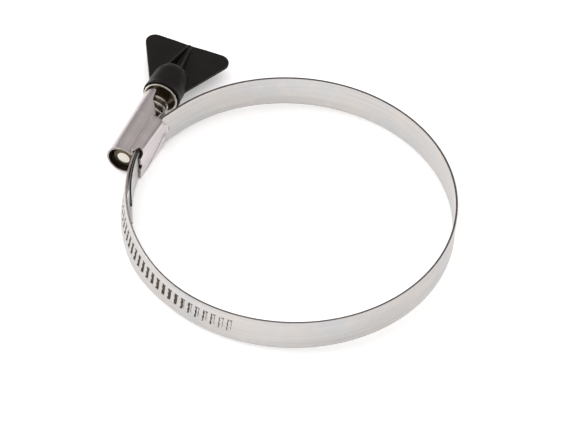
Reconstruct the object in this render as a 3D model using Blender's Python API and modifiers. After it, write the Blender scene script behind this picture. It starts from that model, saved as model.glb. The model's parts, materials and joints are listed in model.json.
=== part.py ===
"""Worm-drive hose clamp with a plastic wing screw.

Origin at the centre of the clamped ring, half way up the band. +Y runs along the screw towards the wing,
+Z along the axis of the hose, and the housing sits on the -X side.

The band is one strip of spring steel. It is drawn here as rigid arcs that hinge on each other, because a clamp is
tightened by bending it: a toothed end that slides through the housing on its own circle, twelve arcs round the
hose, a fixed end that is held in the housing, and a tongue that leaves the housing under the toothed end.
"""

import math

import bmesh
import bpy
from mathutils import Matrix, Vector

MM = 0.001

# Band
BAND_WIDTH = 12.0 * MM
BAND_SHEET = 0.7 * MM
RING_RADIUS = 53.55 * MM  # middle of the sheet
LINK_COUNT = 12
LINK_GAP = 0.3 * MM
STEP_ALONG_BAND = 2.7 * MM  # longest straight piece of a drawn curve

# Toothed end: an arc about its own centre, from its free tail, through the housing, to the first hinge
TOOTH_CENTRE = Vector((6.0 * MM, 4.2 * MM))
TOOTH_RADIUS = 59.9 * MM
TAIL_ANGLE = 165.6  # degrees, seen from TOOTH_CENTRE
TOOTH_END_ANGLE = 235.0
GEAR_RADIUS = 60.1 * MM  # where the screw drives it

# Fixed side, where the band leaves the housing, bends and settles on the ring's circle
SLEEVE_LEAN = 6.0  # degrees from the screw's direction
SLEEVE_DROP = 0.5 * MM  # clear of the toothed end at the mouth
SLEEVE_BOTTOM_Y = 7.0 * MM
KINK_RADIUS = 2.0 * MM
SETTLE_ANGLE = 156.0  # degrees, seen from the origin
FIRST_HINGE_ANGLE = 148.0

# Tongue
TONGUE_GAP = 0.15 * MM
TONGUE_HINGE_Y = -1.9 * MM
TONGUE_SPREAD = 1.5  # degrees away from the toothed end
TONGUE_END_ANGLE = 207.8  # degrees, seen from TOOTH_CENTRE

# Screw
SCREW_X = -58.3 * MM
PITCH = 2.7 * MM
THREAD_RADIUS = 4.4 * MM
ROOT_RADIUS = 3.45 * MM
CREST_WIDTH = 0.6 * MM
FLANK_WIDTH = 0.45 * MM
THREAD_START_Y = -0.6 * MM
THREAD_TURNS = 8
STEPS_PER_TURN = 24
TIP_Y = -1.6 * MM
TIP_RADIUS = 2.7 * MM
NECK_RADIUS = 2.6 * MM
NECK_Y = 22.4 * MM
CUP_RADIUS = 5.8 * MM
CUP_RIM_Y = 29.0 * MM
CUP_FLOOR_Y = 32.8 * MM
CUP_BACK_Y = 33.7 * MM
HEX_ACROSS_FLATS = 7.0 * MM
HEX_END_Y = 40.0 * MM

# Grooves pressed in the toothed end
GROOVE_DEPTH = 0.45 * MM
GROOVE_WIDTH = 1.25 * MM
GROOVE_LENGTH = 4.5 * MM
GROOVE_RISE = 0.45 * MM  # middle of a groove above the middle of the band
FIRST_GROOVE_FROM_TAIL = 0.8 * MM  # at least

# Housing
HOUSING_SHEET = 0.7 * MM
HOUSING_START_Y = -2.3 * MM
HOUSING_BASE_END_Y = 15.0 * MM
ROOF_END_Y = 28.0 * MM
ARCH_RADIUS = 5.15 * MM  # middle of the sheet
FLANGE_CLEARANCE = 0.12 * MM
EDGE_CLEARANCE = 0.15 * MM
FOLD_RADIUS = 0.75 * MM
FILLET_RADIUS = 0.8 * MM
FLAP_FACE_LOW = -52.19 * MM  # x of the flaps' hidden face at the housing's lower end
FLAP_FACE_HIGH = -51.0 * MM
SEAM_Z = -3.0 * MM
SEAM_GAP = 0.3 * MM
ROOF_CUT_LOW_Y = 17.6 * MM
ROOF_CUT_HIGH_Y = 22.7 * MM
NOTCH_SIZE = 1.2 * MM

# Wing handle
FIT_GAP = 0.3 * MM
HUB_RADIUS = 6.0 * MM
SKIRT_RADIUS = 6.4 * MM
HUB_START_Y = 29.9 * MM
HUB_TOP_Y = 45.0 * MM
WING_THICKNESS = 1.8 * MM
WING_TOP_Y = 56.5 * MM
WING_ROOT_Y = 34.0 * MM
WING_HALF_SPAN = 14.9 * MM
WING_CORNER_RADIUS = 3.5 * MM
WING_SHOULDER_Y = 51.0 * MM
SPINE_HALF_WIDTH_LOW = 2.6 * MM
SPINE_HALF_WIDTH_HIGH = 0.9 * MM
SPINE_HEIGHT_LOW = 4.6 * MM
SPINE_HEIGHT_HIGH = 1.4 * MM

HALF_WIDTH = BAND_WIDTH / 2
HALF_SHEET = BAND_SHEET / 2


# ---------------------------------------------------------------- scene


def clear_scene():
    for obj in list(bpy.data.objects):
        bpy.data.objects.remove(obj)


def new_collection(name):
    collection = bpy.data.collections.new(name)
    bpy.context.scene.collection.children.link(collection)
    return collection


def principled(name, colour, roughness, metallic):
    material = bpy.data.materials.new(name)
    material.use_nodes = True
    shader = material.node_tree.nodes["Principled BSDF"]
    shader.inputs["Base Color"].default_value = (*colour, 1.0)
    shader.inputs["Roughness"].default_value = roughness
    shader.inputs["Metallic"].default_value = metallic
    return material


def new_object(name, mesh, collection, material=None):
    obj = bpy.data.objects.new(name, mesh)
    collection.objects.link(obj)
    if material is not None:
        mesh.materials.append(material)
    return obj


def mesh_from_bmesh(name, bm, recalculate=True):
    if recalculate:
        bmesh.ops.recalc_face_normals(bm, faces=bm.faces)
    mesh = bpy.data.meshes.new(name)
    bm.to_mesh(mesh)
    bm.free()
    return mesh


def as_cutter(obj):
    obj.hide_render = True
    obj.display_type = "WIRE"
    return obj


def boolean(obj, other, operation):
    modifier = obj.modifiers.new(operation.title(), "BOOLEAN")
    modifier.operation = operation
    modifier.object = other
    modifier.solver = "EXACT"


def apply_modifiers(obj):
    """Replaces the object's mesh by its evaluated one."""
    bpy.context.view_layer.update()
    evaluated = obj.evaluated_get(bpy.context.evaluated_depsgraph_get())
    mesh = bpy.data.meshes.new_from_object(evaluated)
    obj.modifiers.clear()
    obj.data = mesh


def shade_smooth(obj, angle=35.0):
    obj.data.shade_smooth()
    obj.data.set_sharp_from_angle(angle=math.radians(angle))


def turned(name, profile, collection, material=None, steps=32):
    """A solid of revolution about the screw's axis. The profile's (y, radius) points run from the wing end down."""
    bm = bmesh.new()
    points = [bm.verts.new((radius, 0.0, y)) for y, radius in profile]
    for a, b in zip(points, points[1:]):
        bm.edges.new((a, b))
    obj = new_object(name, mesh_from_bmesh(name, bm, recalculate=False), collection, material)
    screw = obj.modifiers.new("Turn", "SCREW")
    screw.axis = "Z"
    screw.steps = steps
    screw.render_steps = steps
    screw.use_merge_vertices = True
    screw.merge_threshold = 0.00001
    apply_modifiers(obj)
    lay_along_screw(obj)
    return obj


def lay_along_screw(obj):
    """Turns a shape built round +Z so that it runs along +Y, on the screw's axis."""
    obj.data.transform(Matrix.Rotation(math.radians(-90), 4, "X"))
    obj.location = (SCREW_X, 0.0, 0.0)


# ---------------------------------------------------------------- lines of the band, seen from above


def direction(degrees):
    return Vector((math.cos(math.radians(degrees)), math.sin(math.radians(degrees))))


def angle_of(vector):
    return math.degrees(math.atan2(vector.y, vector.x)) % 360.0


def arc(centre, radius, start, end):
    """Points of an arc, from one angle in degrees to the other."""
    length = abs(math.radians(end - start)) * radius
    count = max(1, math.ceil(length / STEP_ALONG_BAND))
    return [centre + radius * direction(start + (end - start) * i / count) for i in range(count + 1)]


def settling_arc():
    """The arc that carries the band from the toothed end's circle to the ring's, touching both."""
    towards_end = direction(TOOTH_END_ANGLE)
    spare = TOOTH_RADIUS - RING_RADIUS
    offset = (spare**2 - TOOTH_CENTRE.length_squared) / (2 * (TOOTH_CENTRE.dot(towards_end) + spare))
    centre = TOOTH_CENTRE + offset * towards_end
    return centre, TOOTH_RADIUS - offset


def loop_point(distance):
    """The middle line of the band, by the distance from the toothed end's last point, anticlockwise."""
    centre, radius = settling_arc()
    start = TOOTH_END_ANGLE
    end = angle_of(centre)
    first_length = math.radians(end - start) * radius
    if distance < first_length:
        return centre + radius * direction(start + math.degrees(distance / radius))
    return RING_RADIUS * direction(end + math.degrees((distance - first_length) / RING_RADIUS))


def loop_length():
    centre, radius = settling_arc()
    end = angle_of(centre)
    return math.radians(end - TOOTH_END_ANGLE) * radius + math.radians(
        360.0 + FIRST_HINGE_ANGLE - end
    ) * RING_RADIUS


def hinge_places():
    """The hinges, from the toothed end round to the fixed side, with their distance along the loop."""
    spacing = loop_length() / LINK_COUNT
    return [(i * spacing, loop_point(i * spacing)) for i in range(LINK_COUNT + 1)]


def link_path(start, end):
    count = math.ceil((end - start) / STEP_ALONG_BAND)
    return [loop_point(start + (end - start) * i / count) for i in range(count + 1)]


def tooth_circle_x(radius, y):
    """x of the toothed end's circle at this y, on the housing's side."""
    return TOOTH_CENTRE.x - math.sqrt(radius**2 - (y - TOOTH_CENTRE.y) ** 2)


def fixed_side_path():
    """From the sleeve in the housing, round the kink, along the straight and on to the first hinge."""
    lean = Vector((math.sin(math.radians(SLEEVE_LEAN)), math.cos(math.radians(SLEEVE_LEAN))))
    mouth = Vector((tooth_circle_x(TOOTH_RADIUS - HALF_SHEET, HOUSING_BASE_END_Y) + SLEEVE_DROP + HALF_SHEET,
                    HOUSING_BASE_END_Y))
    bottom = mouth + lean * ((SLEEVE_BOTTOM_Y - mouth.y) / lean.y)
    settle = RING_RADIUS * direction(SETTLE_ANGLE)
    straight = direction(SETTLE_ANGLE - 90.0)
    # where the two straight lines cross
    across = Vector((-straight.y, straight.x))
    kink = mouth + lean * ((settle - mouth).dot(across) / lean.dot(across))
    turn = lean.angle(straight)
    cut = KINK_RADIUS * math.tan(turn / 2)
    start = kink - lean * cut
    inward = Vector((lean.y, -lean.x))
    centre = start + inward * KINK_RADIUS
    first = angle_of(start - centre)
    bend = [centre + KINK_RADIUS * direction(first - math.degrees(turn) * i / 3) for i in range(4)]
    gap = math.degrees(LINK_GAP / 2 / RING_RADIUS)
    return [bottom, *bend, *arc(Vector((0, 0)), RING_RADIUS, SETTLE_ANGLE, FIRST_HINGE_ANGLE + gap)]


def tongue_path():
    """Inner layer under the toothed end. It springs away from the toothed end, more and more towards its tip."""
    radius = TOOTH_RADIUS - BAND_SHEET - TONGUE_GAP
    start = 180.0 - math.degrees(math.asin((TONGUE_HINGE_Y - TOOTH_CENTRE.y) / radius))
    path = arc(TOOTH_CENTRE, radius, start, TONGUE_END_ANGLE)
    hinge = path[0]
    spread = Matrix.Rotation(math.radians(TONGUE_SPREAD), 2)
    return [hinge + spread @ (point - hinge) for point in path]


# ---------------------------------------------------------------- band


def strip(name, path, collection, material, pivot=None):
    """A band piece along a path seen from above, with its origin on its hinge."""
    pivot = pivot or Vector((0.0, 0.0))
    bm = bmesh.new()
    rows = [
        [bm.verts.new((point.x - pivot.x, point.y - pivot.y, z)) for z in (-HALF_WIDTH, HALF_WIDTH)]
        for point in path
    ]
    for low, high in zip(rows, rows[1:]):
        bm.faces.new((low[0], high[0], high[1], low[1]))
    obj = new_object(name, mesh_from_bmesh(name, bm), collection, material)
    obj.location = (pivot.x, pivot.y, 0.0)
    solidify = obj.modifiers.new("Sheet", "SOLIDIFY")
    solidify.thickness = BAND_SHEET
    solidify.offset = 0.0
    solidify.use_even_offset = True
    return obj


def add_groove_bar(bm, place, out, length):
    """A bar with round ends, lying up and down on the band's outer face and tilted like the thread."""
    half = GROOVE_WIDTH / 2
    reach = max(length / 2 - half, 0.01 * MM)
    outline = [(x, reach + y) for x, y in arc_points(0.0, 0.0, half, 0.0, 180.0, 5)]
    outline += [(x, y - reach) for x, y in arc_points(0.0, 0.0, half, 180.0, 360.0, 5)]
    face = bm.faces.new([bm.verts.new((x, y, -GROOVE_DEPTH)) for x, y in outline])
    raised = bmesh.ops.extrude_face_region(bm, geom=[face])["geom"]
    top = [item for item in raised if isinstance(item, bmesh.types.BMVert)]
    bmesh.ops.translate(bm, verts=top, vec=(0.0, 0.0, 2 * GROOVE_DEPTH))
    # local x runs along the band, local y up and local z outwards
    up = Vector((0.0, 0.0, 1.0))
    frame = Matrix((up.cross(out), up, out)).transposed().to_4x4()
    tilt = math.atan(PITCH / (2 * math.pi * (THREAD_RADIUS - GROOVE_DEPTH / 2)))
    matrix = Matrix.Translation((place.x, place.y, GROOVE_RISE)) @ frame @ Matrix.Rotation(-tilt, 4, "Z")
    bmesh.ops.transform(bm, matrix=matrix, verts=list(face.verts) + top)


def groove_angles():
    """Where the grooves of the toothed end lie, seen from its centre: each one meets a crest of the thread."""
    pitch_angle = math.degrees(PITCH / GEAR_RADIUS)
    crest = 180.0 - math.degrees((THREAD_START_Y - TOOTH_CENTRE.y) % PITCH / GEAR_RADIUS)
    first = TAIL_ANGLE + math.degrees(FIRST_GROOVE_FROM_TAIL / TOOTH_RADIUS)
    skipped = math.ceil((first - crest) / pitch_angle)
    count = int((TOOTH_END_ANGLE - 0.5 * pitch_angle - crest) / pitch_angle) + 1
    return [crest + i * pitch_angle for i in range(skipped, count)]


def groove_cutters(collection):
    """The bars that cut the toothed end's grooves, all in one cutter."""
    bm = bmesh.new()
    for angle in groove_angles():
        out = Vector((*direction(angle), 0.0))
        add_groove_bar(bm, TOOTH_CENTRE + (TOOTH_RADIUS + HALF_SHEET) * out.xy, out, GROOVE_LENGTH)
    return as_cutter(new_object("groove_bars", mesh_from_bmesh("groove_bars", bm), collection))


def run_out_cutters(collection, pivot, length):
    """Grooves that go on over the first arc of the ring and get shorter towards its end."""
    bm = bmesh.new()
    pitch_angle = math.degrees(PITCH / GEAR_RADIUS)
    distance = TOOTH_RADIUS * math.radians(groove_angles()[-1] + pitch_angle - TOOTH_END_ANGLE)
    while distance < length - GROOVE_WIDTH:
        here = loop_point(distance)
        ahead = (loop_point(distance + 0.1 * MM) - here).normalized()
        out = Vector((ahead.y, -ahead.x, 0.0))
        shorter = min(1.0, 2.0 * (1.0 - distance / length))
        add_groove_bar(bm, here - pivot + HALF_SHEET * out.xy, out, GROOVE_LENGTH * shorter)
        distance += PITCH
    return as_cutter(new_object("run_out_bars", mesh_from_bmesh("run_out_bars", bm), collection))


def build_toothed_end(parts, cutters, material):
    gap = math.degrees(LINK_GAP / 2 / TOOTH_RADIUS)
    path = arc(TOOTH_CENTRE, TOOTH_RADIUS, TAIL_ANGLE, TOOTH_END_ANGLE - gap)
    obj = strip("band_toothed_end", path, parts, material, pivot=TOOTH_CENTRE)
    boolean(obj, groove_cutters(cutters), "DIFFERENCE")


def build_links(parts, cutters, material):
    places = hinge_places()
    for i, ((start, pivot), (end, _)) in enumerate(zip(places, places[1:]), 1):
        path = link_path(start + LINK_GAP / 2, end - LINK_GAP / 2)
        obj = strip(f"band_arc_{i:02d}", path, parts, material, pivot=pivot)
        if i == 1:
            bars = run_out_cutters(cutters, pivot, end - start)
            bars.location = obj.location
            boolean(obj, bars, "DIFFERENCE")


def build_fixed_side(parts, material):
    strip("band_fixed_end", fixed_side_path(), parts, material, pivot=hinge_places()[-1][1])
    path = tongue_path()
    strip("band_tongue", path, parts, material, pivot=path[0])


# ---------------------------------------------------------------- housing


def arc_points(x, z, radius, start, end, count):
    """(x, z) points of an arc in the housing's cross-section."""
    return [(x + radius * direction(start + (end - start) * i / count).x,
             z + radius * direction(start + (end - start) * i / count).y) for i in range(count + 1)]


def housing_half(y, side):
    """Half of the cross-section, from the top of the arch down to the fold and the flap's edge."""
    flange_x = -(TOOTH_RADIUS - TOOTH_CENTRE.x) - HALF_SHEET - FLANGE_CLEARANCE - HOUSING_SHEET / 2
    share = (y - HOUSING_START_Y) / (HOUSING_BASE_END_Y - HOUSING_START_Y)
    flap_x = FLAP_FACE_LOW + (FLAP_FACE_HIGH - FLAP_FACE_LOW) * share + HOUSING_SHEET / 2
    edge_z = HALF_WIDTH + EDGE_CLEARANCE + HOUSING_SHEET / 2
    # the fillet's circle touches the arch from outside and the flange's middle line
    fillet_x = flange_x - FILLET_RADIUS
    reach = ARCH_RADIUS + FILLET_RADIUS
    fillet_z = math.sqrt(reach**2 - (fillet_x - SCREW_X) ** 2)
    foot = math.degrees(math.atan2(fillet_z, fillet_x - SCREW_X))
    points = arc_points(SCREW_X, 0.0, ARCH_RADIUS, 180.0, foot, 12)
    points += arc_points(fillet_x, fillet_z, FILLET_RADIUS, foot + 180.0, 360.0, 3)[1:]
    points += arc_points(flange_x + FOLD_RADIUS, edge_z - FOLD_RADIUS, FOLD_RADIUS, 180.0, 90.0, 3)
    points += arc_points(flap_x - FOLD_RADIUS, edge_z - FOLD_RADIUS, FOLD_RADIUS, 90.0, 0.0, 3)
    seam = SEAM_Z + side * SEAM_GAP / 2
    return [(x, side * z) for x, z in points] + [(flap_x, seam)]


def housing_section(y):
    upper = housing_half(y, 1)
    lower = housing_half(y, -1)
    return upper[::-1] + lower[1:]


def housing_shell(parts, material):
    """The sheet that arches over the screw and folds round the band, one section after another along y."""
    stations = (HOUSING_START_Y, HOUSING_BASE_END_Y, ROOF_END_Y)
    bm = bmesh.new()
    rows = []
    for y in stations:
        section = housing_section(min(y, HOUSING_BASE_END_Y))
        rows.append([bm.verts.new((x, y, z)) for x, z in section])
    for low, high in zip(rows, rows[1:]):
        for a, b, c, d in zip(low, low[1:], high[1:], high):
            bm.faces.new((a, b, c, d))
    obj = new_object("housing", mesh_from_bmesh("housing", bm), parts, material)
    solidify = obj.modifiers.new("Sheet", "SOLIDIFY")
    solidify.thickness = HOUSING_SHEET
    solidify.offset = 0.0
    solidify.use_even_offset = True
    apply_modifiers(obj)
    return obj


def prism(name, outline, axis, low, high, collection):
    """A straight-sided cutter: an outline in the other two axes, from low to high along the axis."""
    bm = bmesh.new()
    order = {"X": lambda a, b, t: (t, a, b), "Y": lambda a, b, t: (a, t, b), "Z": lambda a, b, t: (a, b, t)}[axis]
    rings = [[bm.verts.new(order(a, b, t)) for a, b in outline] for t in (low, high)]
    bm.faces.new(rings[0])
    bm.faces.new(rings[1][::-1])
    count = len(outline)
    for i in range(count):
        j = (i + 1) % count
        bm.faces.new((rings[0][i], rings[1][i], rings[1][j], rings[0][j]))
    return as_cutter(new_object(name, mesh_from_bmesh(name, bm), collection))


def build_housing(parts, cutters, material):
    obj = housing_shell(parts, material)
    # past the base only the roof is left: the sheet is cut away slantwise from the foot of the arch to its top
    far = -40.0 * MM
    outline = [
        (SCREW_X + ARCH_RADIUS * 0.6, HOUSING_BASE_END_Y),
        (far, HOUSING_BASE_END_Y),
        (far, ROOF_END_Y + MM),
        (SCREW_X - 0.2 * MM, ROOF_END_Y + MM),
        (SCREW_X - 0.2 * MM, ROOF_CUT_HIGH_Y),
        (SCREW_X + ARCH_RADIUS * 0.6, ROOF_CUT_LOW_Y),
    ]
    boolean(obj, prism("roof_cut", outline, "Z", -20 * MM, 20 * MM, cutters), "DIFFERENCE")
    # two small notches in the lower edge of the wide flap
    for i, z in enumerate((4.2 * MM, 0.6 * MM), 1):
        box = prism(
            f"flap_notch_{i}",
            [
                (HOUSING_START_Y - MM, z - NOTCH_SIZE / 2),
                (HOUSING_START_Y + NOTCH_SIZE, z - NOTCH_SIZE / 2),
                (HOUSING_START_Y + NOTCH_SIZE, z + NOTCH_SIZE / 2),
                (HOUSING_START_Y - MM, z + NOTCH_SIZE / 2),
            ],
            "X",
            FLAP_FACE_LOW - 0.1 * MM,
            FLAP_FACE_LOW + 2 * MM,
            cutters,
        )
        boolean(obj, box, "DIFFERENCE")
    apply_modifiers(obj)
    shade_smooth(obj)


# ---------------------------------------------------------------- screw


def thread_ridge(cutters):
    """The helical ridge, as a solid with closed ends, built round +Z."""
    root = ROOT_RADIUS - 0.15 * MM
    half_root = CREST_WIDTH / 2 + FLANK_WIDTH
    bm = bmesh.new()
    corners = [
        bm.verts.new((root, 0.0, -half_root)),
        bm.verts.new((THREAD_RADIUS, 0.0, -CREST_WIDTH / 2)),
        bm.verts.new((THREAD_RADIUS, 0.0, CREST_WIDTH / 2)),
        bm.verts.new((root, 0.0, half_root)),
    ]
    for i in range(4):
        bm.edges.new((corners[i], corners[(i + 1) % 4]))
    obj = new_object("thread_ridge", mesh_from_bmesh("thread_ridge", bm, recalculate=False), cutters)
    screw = obj.modifiers.new("Thread", "SCREW")
    screw.axis = "Z"
    screw.angle = 2 * math.pi
    screw.screw_offset = PITCH
    screw.iterations = THREAD_TURNS
    screw.steps = STEPS_PER_TURN
    screw.render_steps = STEPS_PER_TURN
    apply_modifiers(obj)
    ends = bmesh.new()
    ends.from_mesh(obj.data)
    bmesh.ops.remove_doubles(ends, verts=ends.verts, dist=0.000001)
    bmesh.ops.holes_fill(ends, edges=ends.edges, sides=4)
    obj.data = mesh_from_bmesh("thread_ridge", ends)
    lay_along_screw(obj)
    obj.location.y = THREAD_START_Y
    return as_cutter(obj)


def build_screw(parts, cutters, material):
    profile = [
        (HEX_END_Y - 2 * MM, 0.0),
        (HEX_END_Y - 2 * MM, 3.0 * MM),
        (CUP_BACK_Y, 3.0 * MM),
        (CUP_BACK_Y, 4.9 * MM),
        (CUP_BACK_Y - 0.8 * MM, 5.6 * MM),
        (CUP_RIM_Y + 0.7 * MM, 5.6 * MM),
        (CUP_RIM_Y + 0.5 * MM, CUP_RADIUS),
        (CUP_RIM_Y + 0.1 * MM, CUP_RADIUS),
        (CUP_RIM_Y, CUP_RADIUS - 0.15 * MM),
        (CUP_RIM_Y, 5.25 * MM),
        (CUP_RIM_Y + 0.5 * MM, 5.0 * MM),
        (CUP_FLOOR_Y - 0.8 * MM, 4.7 * MM),
        (CUP_FLOOR_Y, 3.9 * MM),
        (CUP_FLOOR_Y, NECK_RADIUS + 0.3 * MM),
        (CUP_FLOOR_Y - 0.3 * MM, NECK_RADIUS),
        (NECK_Y, NECK_RADIUS),
        (NECK_Y - 0.9 * MM, ROOT_RADIUS),
        (TIP_Y + 0.75 * MM, ROOT_RADIUS),
        (TIP_Y, TIP_RADIUS),
        (TIP_Y, 0.0),
    ]
    obj = turned("worm_screw", profile, parts, material)
    ridge = thread_ridge(cutters)
    boolean(obj, ridge, "UNION")
    bm = bmesh.new()
    bmesh.ops.create_cone(
        bm,
        cap_ends=True,
        segments=6,
        radius1=HEX_ACROSS_FLATS / math.sqrt(3),
        radius2=HEX_ACROSS_FLATS / math.sqrt(3),
        depth=HEX_END_Y - CUP_BACK_Y + 0.3 * MM,
    )
    bmesh.ops.translate(bm, verts=bm.verts, vec=(0, 0, (HEX_END_Y + CUP_BACK_Y - 0.3 * MM) / 2))
    head = new_object("screw_hexagon", mesh_from_bmesh("screw_hexagon", bm), cutters)
    lay_along_screw(head)
    boolean(obj, as_cutter(head), "UNION")
    apply_modifiers(obj)
    shade_smooth(obj)


# ---------------------------------------------------------------- wing handle


def wing_outline():
    """The flat wing, seen along z from the screw's axis: a triangle with round corners that narrows to the hub."""
    shoulder_x = WING_HALF_SPAN - 0.6 * MM
    corner_x = WING_HALF_SPAN - WING_CORNER_RADIUS
    corner_y = WING_TOP_Y - WING_CORNER_RADIUS
    right = [(HUB_RADIUS * 0.9, WING_ROOT_Y), (shoulder_x, WING_SHOULDER_Y)]
    right += arc_points(corner_x, corner_y, WING_CORNER_RADIUS, -12.0, 90.0, 6)
    return right + [(-x, y) for x, y in right[::-1]]


def wing_plate(collection):
    curve = bpy.data.curves.new("wing_plate", "CURVE")
    curve.dimensions = "2D"
    curve.fill_mode = "BOTH"
    curve.extrude = WING_THICKNESS / 2
    spline = curve.splines.new("POLY")
    outline = wing_outline()
    spline.points.add(len(outline) - 1)
    for point, (x, y) in zip(spline.points, outline):
        point.co = (x, y, 0.0, 1.0)
    spline.use_cyclic_u = True
    drawn = new_object("wing_plate_curve", curve, collection)
    bpy.context.view_layer.update()
    evaluated = drawn.evaluated_get(bpy.context.evaluated_depsgraph_get())
    mesh = bpy.data.meshes.new_from_object(evaluated)
    bpy.data.objects.remove(drawn)
    bm = bmesh.new()
    bm.from_mesh(mesh)
    bmesh.ops.remove_doubles(bm, verts=bm.verts, dist=0.000001)
    plate = new_object("wing_plate", mesh_from_bmesh("wing_plate", bm), collection)
    plate.location = (SCREW_X, 0.0, 0.0)
    bevel = plate.modifiers.new("Rounded", "BEVEL")
    bevel.width = 0.5 * MM
    bevel.segments = 2
    bevel.angle_limit = math.radians(50)
    apply_modifiers(plate)
    return as_cutter(plate)


def wing_spine(collection):
    """The raised middle rib on both faces, tapering from the hub to the wing's top edge."""
    bm = bmesh.new()
    rings = []
    for y, half_x, half_z in (
        (HUB_TOP_Y - 6 * MM, SPINE_HALF_WIDTH_LOW, SPINE_HEIGHT_LOW),
        (WING_TOP_Y - 0.7 * MM, SPINE_HALF_WIDTH_HIGH, SPINE_HEIGHT_HIGH),
    ):
        rings.append([
            bm.verts.new((SCREW_X + sx * half_x * wide, y, sz * half_z))
            for sx, sz, wide in ((-1, -1, 0.6), (1, -1, 0.6), (1, 0, 1.0), (1, 1, 0.6), (-1, 1, 0.6), (-1, 0, 1.0))
        ])
    bm.faces.new(rings[0])
    bm.faces.new(rings[1][::-1])
    for i in range(6):
        j = (i + 1) % 6
        bm.faces.new((rings[0][i], rings[1][i], rings[1][j], rings[0][j]))
    return as_cutter(new_object("wing_spine", mesh_from_bmesh("wing_spine", bm), collection))


def build_wing(parts, cutters, material):
    hub = [
        (HUB_TOP_Y, 0.0),
        (HUB_TOP_Y - 0.15 * MM, 1.6 * MM),
        (HUB_TOP_Y - 0.8 * MM, 3.3 * MM),
        (HUB_TOP_Y - 1.9 * MM, 4.7 * MM),
        (HUB_TOP_Y - 3.6 * MM, 5.7 * MM),
        (HUB_TOP_Y - 5.5 * MM, HUB_RADIUS),
        (HUB_START_Y + 1.6 * MM, HUB_RADIUS + 0.1 * MM),
        (HUB_START_Y + 0.7 * MM, SKIRT_RADIUS),
        (HUB_START_Y, SKIRT_RADIUS - 0.2 * MM),
        (HUB_START_Y, 0.0),
    ]
    obj = turned("wing_handle", hub, parts, material)
    boolean(obj, wing_plate(cutters), "UNION")
    boolean(obj, wing_spine(cutters), "UNION")
    pocket = [
        (CUP_BACK_Y + FIT_GAP, 0.0),
        (CUP_BACK_Y + FIT_GAP, 5.2 * MM),
        (CUP_BACK_Y - 0.5 * MM, 5.6 * MM + FIT_GAP),
        (HUB_START_Y - 2 * MM, 5.6 * MM + FIT_GAP),
        (HUB_START_Y - 2 * MM, 0.0),
    ]
    boolean(obj, as_cutter(turned("cup_pocket", pocket, cutters)), "DIFFERENCE")
    bm = bmesh.new()
    low = CUP_BACK_Y - 0.5 * MM
    high = HEX_END_Y + FIT_GAP
    radius = (HEX_ACROSS_FLATS + 2 * FIT_GAP) / math.sqrt(3)
    bmesh.ops.create_cone(bm, cap_ends=True, segments=6, radius1=radius, radius2=radius, depth=high - low)
    bmesh.ops.translate(bm, verts=bm.verts, vec=(0, 0, (high + low) / 2))
    socket = new_object("hexagon_socket", mesh_from_bmesh("hexagon_socket", bm), cutters)
    lay_along_screw(socket)
    boolean(obj, as_cutter(socket), "DIFFERENCE")
    apply_modifiers(obj)
    shade_smooth(obj)


def main():
    clear_scene()
    parts = new_collection("hose_clamp")
    cutters = new_collection("cutters")
    steel = principled("band_steel", (0.68, 0.66, 0.64), 0.28, 1.0)
    pressed_steel = principled("housing_steel", (0.55, 0.51, 0.51), 0.38, 1.0)
    bright_steel = principled("screw_steel", (0.74, 0.72, 0.68), 0.25, 1.0)
    black_plastic = principled("wing_plastic", (0.012, 0.011, 0.011), 0.5, 0.0)
    build_toothed_end(parts, cutters, steel)
    build_links(parts, cutters, steel)
    build_fixed_side(parts, steel)
    build_housing(parts, cutters, pressed_steel)
    build_screw(parts, cutters, bright_steel)
    build_wing(parts, cutters, black_plastic)


main()
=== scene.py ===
"""Looks of the worm-drive hose clamp with a wing screw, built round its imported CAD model."""

import json
import math

import bmesh
import bpy
from mathutils import Matrix, Vector

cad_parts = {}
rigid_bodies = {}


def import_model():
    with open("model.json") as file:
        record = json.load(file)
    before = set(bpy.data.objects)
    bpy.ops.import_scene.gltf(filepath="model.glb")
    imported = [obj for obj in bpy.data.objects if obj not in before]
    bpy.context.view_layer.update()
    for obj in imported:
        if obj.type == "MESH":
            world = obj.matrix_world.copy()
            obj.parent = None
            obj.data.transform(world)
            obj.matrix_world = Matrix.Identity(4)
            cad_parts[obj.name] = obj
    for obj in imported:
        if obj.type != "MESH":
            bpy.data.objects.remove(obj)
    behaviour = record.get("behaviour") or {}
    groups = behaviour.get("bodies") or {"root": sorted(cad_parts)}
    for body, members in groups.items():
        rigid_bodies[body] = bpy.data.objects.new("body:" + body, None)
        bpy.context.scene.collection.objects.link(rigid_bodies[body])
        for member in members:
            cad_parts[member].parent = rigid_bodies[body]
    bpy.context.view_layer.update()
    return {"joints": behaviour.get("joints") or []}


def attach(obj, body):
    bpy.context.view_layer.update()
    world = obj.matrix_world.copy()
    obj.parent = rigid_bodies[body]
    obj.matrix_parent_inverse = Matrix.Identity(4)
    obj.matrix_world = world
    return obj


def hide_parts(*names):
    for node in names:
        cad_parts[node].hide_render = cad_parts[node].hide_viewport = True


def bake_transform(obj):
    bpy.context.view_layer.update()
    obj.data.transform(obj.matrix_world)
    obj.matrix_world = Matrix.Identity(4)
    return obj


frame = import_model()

MM = 0.001

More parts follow.
